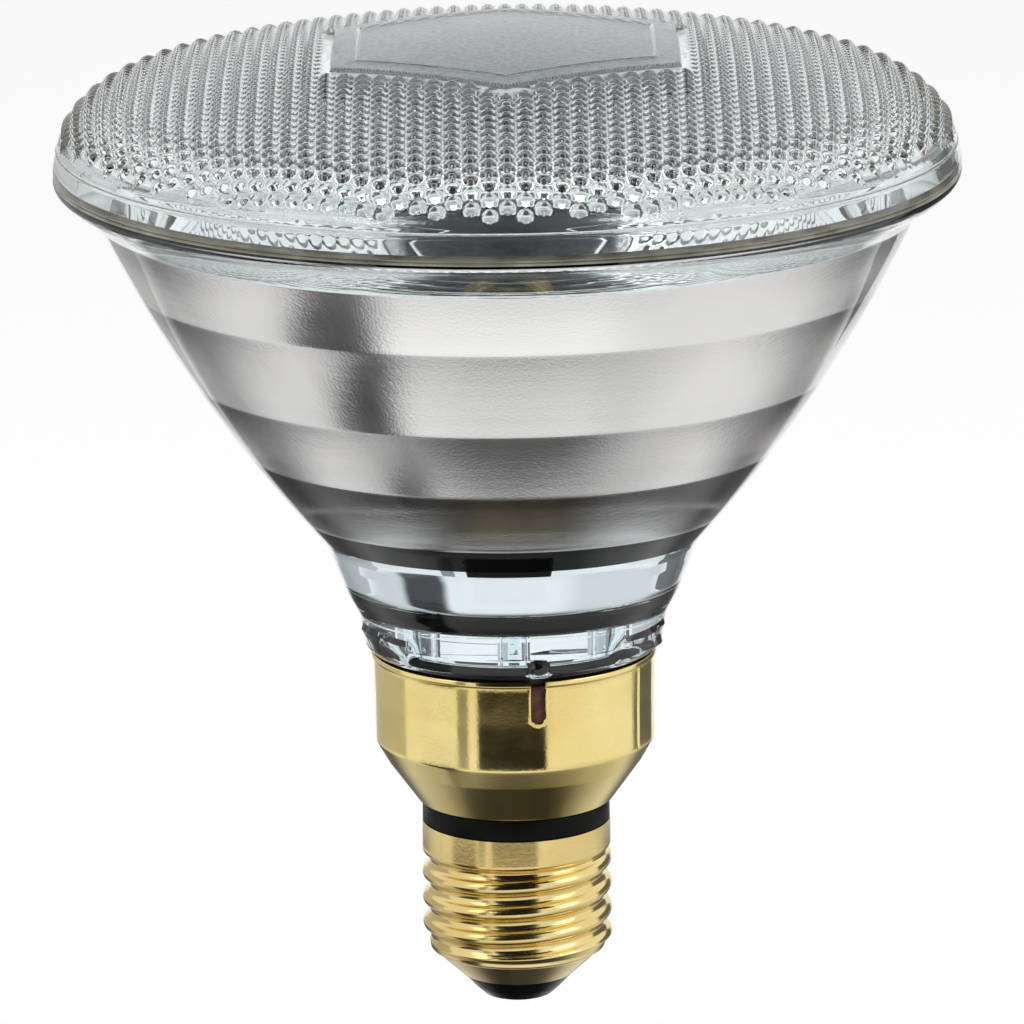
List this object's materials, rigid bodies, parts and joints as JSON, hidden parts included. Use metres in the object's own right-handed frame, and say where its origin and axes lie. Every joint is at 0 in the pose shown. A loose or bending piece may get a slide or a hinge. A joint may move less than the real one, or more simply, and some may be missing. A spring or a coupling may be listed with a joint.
{
  "type": "reflector spotlight bulb",
  "caption": "Reflector spotlight bulb: pressed glass lens and mirrored glass bowl on a skirted brass screw cap.",
  "frame": {"origin": "centre of the end contact's flat tip, on the lamp's axis", "axes": "+Z along the lamp's axis from the end contact to the lens; -Y is the front, where the skirt has its slot (9 degrees to the right of it)"},
  "size_m": [0.1232, 0.1232, 0.136],
  "materials": {
    "clear_glass": "clear, polished",
    "mirror_film": "satin aluminium film",
    "ferrule_metal": "satin",
    "post_metal": "drawn wire",
    "braze_metal": "flowed",
    "tungsten": "drawn wire, grey",
    "brass": "bright, rolled and spun",
    "cement": "baked, matt",
    "black_insulator": "matt",
    "black_glass": "glossy",
    "solder": "flowed",
    "lead_metal": "drawn wire"
  },
  "bodies": {
    "root": {"lens": "clear_glass", "reflector_bowl": "clear_glass", "mirror_coating": "mirror_film", "exhaust_tip": "clear_glass", "ferrule_left": "ferrule_metal", "ferrule_right": "ferrule_metal", "lead_post_left": "post_metal", "lead_post_right": "post_metal", "braze_left": "braze_metal", "braze_right": "braze_metal", "bridge_bead": "clear_glass", "filament_hook": "post_metal", "filament": "tungsten", "skirt": "brass", "basing_cement": "cement", "insulator_ring": "black_insulator", "screw_shell": "brass", "base_insulator": "black_glass", "contact_plate": "brass", "contact_solder": "solder", "centre_lead": "lead_metal", "side_lead": "lead_metal", "side_weld": "solder"}
  },
  "joints": []
}
